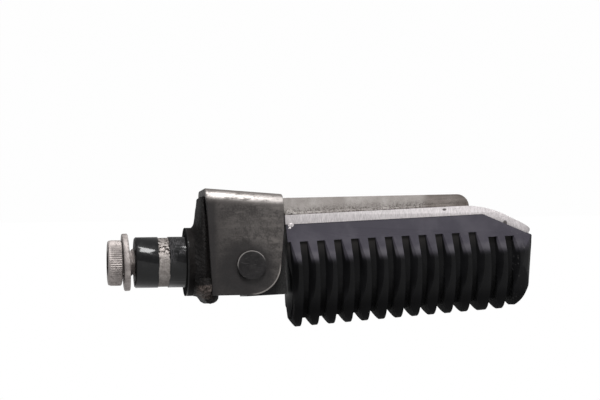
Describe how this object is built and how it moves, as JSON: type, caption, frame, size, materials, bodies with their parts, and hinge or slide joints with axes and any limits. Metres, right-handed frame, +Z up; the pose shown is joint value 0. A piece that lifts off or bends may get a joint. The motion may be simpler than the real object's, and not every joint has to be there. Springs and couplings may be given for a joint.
{
  "type": "folding motorcycle footpeg",
  "caption": "Folding motorcycle footpeg: a ribbed rubber tread on a steel arm, hinged in a folded steel clevis that bolts to the frame by a round spigot.",
  "frame": {"origin": "on the spigot's axis, at the face of the collar that seats on the frame", "axes": "+X points outboard along the spigot towards the tip of the peg, +Y along the hinge pin towards its peened head, +Z up, with the tread on top"},
  "size_m": [0.1523, 0.0354, 0.0485],
  "materials": {
    "black_paint": "worn gloss black paint over steel",
    "worn_steel": "dark worn coating with grime, rubbed bright at the folds",
    "weld": "rough painted weld bead",
    "zinc_fastener": "zinc plated, dulled",
    "pin_steel": "dark greasy steel",
    "grey_arm": "matte grey, speckled with dirt and weld spatter",
    "bright_plate": "bright plate with shear marks across its edge",
    "rubber": "satin moulded black rubber"
  },
  "bodies": {
    "clevis_side": {"spigot": "black_paint", "bracket": "worn_steel", "bracket_welds": "weld", "mounting_screw": "zinc_fastener", "screw_washer": "zinc_fastener", "hinge_pin": "pin_steel", "pin_washer": "zinc_fastener", "split_pin": "zinc_fastener", "friction_washer": "zinc_fastener"},
    "peg_side": {"arm": "grey_arm", "tread_plate": "bright_plate", "arm_welds": "grey_arm", "tread_rubber": "rubber", "tread_studs": "zinc_fastener", "stud_washers": "zinc_fastener", "stud_nuts": "zinc_fastener"}
  },
  "joints": [
    {"name": "peg_fold", "type": "hinge", "parent": "clevis_side", "child": "peg_side", "pos_m": [0.0221, 0, 0.0017], "axis": [0, -1, 0], "range_deg": [0, 90]}
  ]
}
